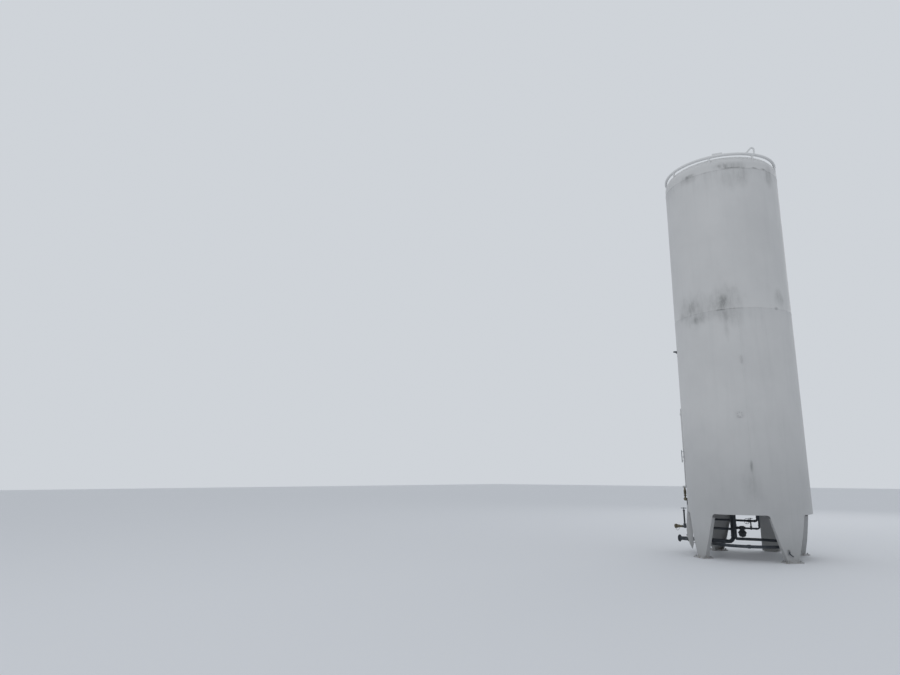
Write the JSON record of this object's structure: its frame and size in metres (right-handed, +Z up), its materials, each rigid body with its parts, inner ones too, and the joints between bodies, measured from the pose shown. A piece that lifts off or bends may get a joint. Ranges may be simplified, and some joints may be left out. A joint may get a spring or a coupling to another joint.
{
  "type": "vertical cryogenic gas tank",
  "caption": "Tall upright round tank with dished ends on plate legs, with a tube ring round its roof, a coil under it and pipes and valves at one side.",
  "frame": {"origin": "middle of the footprint's bounding box, on the ground", "axes": "+Z up along the tank, -Y the open side with the small fittings, -X the side with the outlet valves"},
  "size_m": [2.618, 2.3024, 8.3],
  "materials": {
    "tank_paint": "off-white satin paint, dirty and streaked",
    "pipe_paint": "dark weathered paint",
    "bare_steel": "dull bare steel",
    "brass": "dull brass",
    "plate": "blank pale plate"
  },
  "bodies": {
    "root": {"shell_lower": "tank_paint", "shell_upper": "tank_paint", "top_head": "tank_paint", "bottom_head": "tank_paint", "leg_front": "tank_paint", "leg_right": "tank_paint", "leg_rear": "tank_paint", "leg_left": "tank_paint", "foot_front": "tank_paint", "foot_right": "tank_paint", "foot_rear": "tank_paint", "foot_left": "tank_paint", "rear_plate": "tank_paint", "top_ring": "tank_paint", "lifting_loop_front": "tank_paint", "lifting_loop_rear": "tank_paint", "ring_clip": "tank_paint", "relief_nozzle": "tank_paint", "vacuum_port": "tank_paint", "cable_tab": "tank_paint", "vent_pipe": "tank_paint", "vent_bracket_lower": "tank_paint", "vent_bracket_upper": "tank_paint", "pipe_support": "tank_paint", "liquid_line": "pipe_paint", "liquid_valve": "pipe_paint", "liquid_flange": "pipe_paint", "fill_line": "pipe_paint", "fill_valve": "pipe_paint", "gas_drop": "pipe_paint", "gas_valve": "pipe_paint", "gas_line": "pipe_paint", "tapping_line": "pipe_paint", "pressure_coil": "pipe_paint", "coil_return": "pipe_paint", "regulator": "pipe_paint", "build_up_valve": "pipe_paint", "build_up_line": "pipe_paint", "relief_lid": "bare_steel", "level_gauge": "bare_steel", "pressure_gauge": "bare_steel", "earth_lug": "bare_steel", "fill_coupling": "brass", "changeover_valve": "brass", "safety_valve_a": "brass", "safety_valve_b": "brass", "gauge_plate": "plate", "rating_plate": "plate"}
  },
  "joints": []
}
